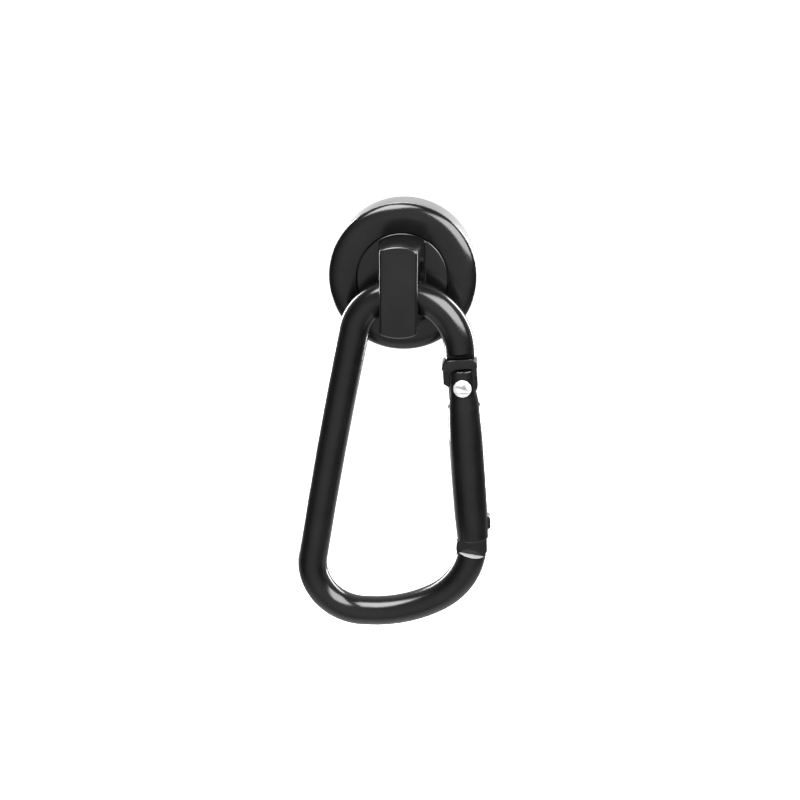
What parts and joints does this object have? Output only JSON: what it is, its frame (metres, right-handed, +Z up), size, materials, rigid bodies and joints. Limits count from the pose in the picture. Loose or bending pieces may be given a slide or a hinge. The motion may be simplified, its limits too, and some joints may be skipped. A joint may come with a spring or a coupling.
{
  "type": "magnetic swivel hanger",
  "caption": "Round pot magnet with a capped back, a swivelling eye and a spring-gate carabiner hanging in it.",
  "frame": {"origin": "centre of the magnet's working face", "axes": "+Y out of the working face, along the magnet's axis; +Z up, against the way the carabiner hangs; +X towards the carabiner's gate side"},
  "size_m": [0.0435, 0.024, 0.0955],
  "materials": {
    "nickel": "satin nickel plate on steel",
    "magnet": "nickel-plated sintered magnet",
    "resin": "cast black resin",
    "black_coat": "smooth black coat, semi-gloss",
    "steel": "plain bright steel",
    "nylon": "natural nylon",
    "alloy": "bare peened aluminium"
  },
  "bodies": {
    "magnet_base": {"magnet_cup": "nickel", "magnet_disc": "magnet", "potting_ring": "resin", "cap": "black_coat", "cap_screw_1": "steel", "cap_screw_2": "steel", "cap_screw_3": "steel", "thrust_washer": "nylon"},
    "swivel": {"swivel_eye": "black_coat", "lower_washer": "steel", "wave_washer": "steel", "retaining_clip": "steel"},
    "carabiner": {"carabiner_frame": "black_coat"},
    "gate": {"carabiner_gate": "black_coat", "gate_rivet": "alloy", "gate_spring": "steel"},
    "plunger": {"gate_plunger": "steel"}
  },
  "joints": [
    {"name": "eye_swivel", "type": "hinge", "parent": "magnet_base", "child": "swivel", "pos_m": [0, -0.0172, 0], "axis": [0, 1, 0], "continuous": true},
    {"name": "carabiner_swing", "type": "hinge", "parent": "swivel", "child": "carabiner", "pos_m": [0, -0.0172, -0.0017], "axis": [-1, 0, 0], "range_deg": [-10, 190]},
    {"name": "gate_hinge", "type": "hinge", "parent": "carabiner", "child": "gate", "pos_m": [0.01345, -0.0172, -0.02123], "axis": [0, 1, 0], "range_deg": [0, 30], "stiffness_Nm_per_rad": 0.15, "springref_deg": -20.05},
    {"name": "plunger_slide", "type": "slide", "parent": "gate", "child": "plunger", "axis": [0.0889, 0, -0.996], "range_m": [0, 0.00105], "deforming": ["gate_spring"]}
  ],
  "couplings": [
    {"joint": "plunger_slide", "follows": "gate_hinge", "m_per_rad": 0.002}
  ]
}
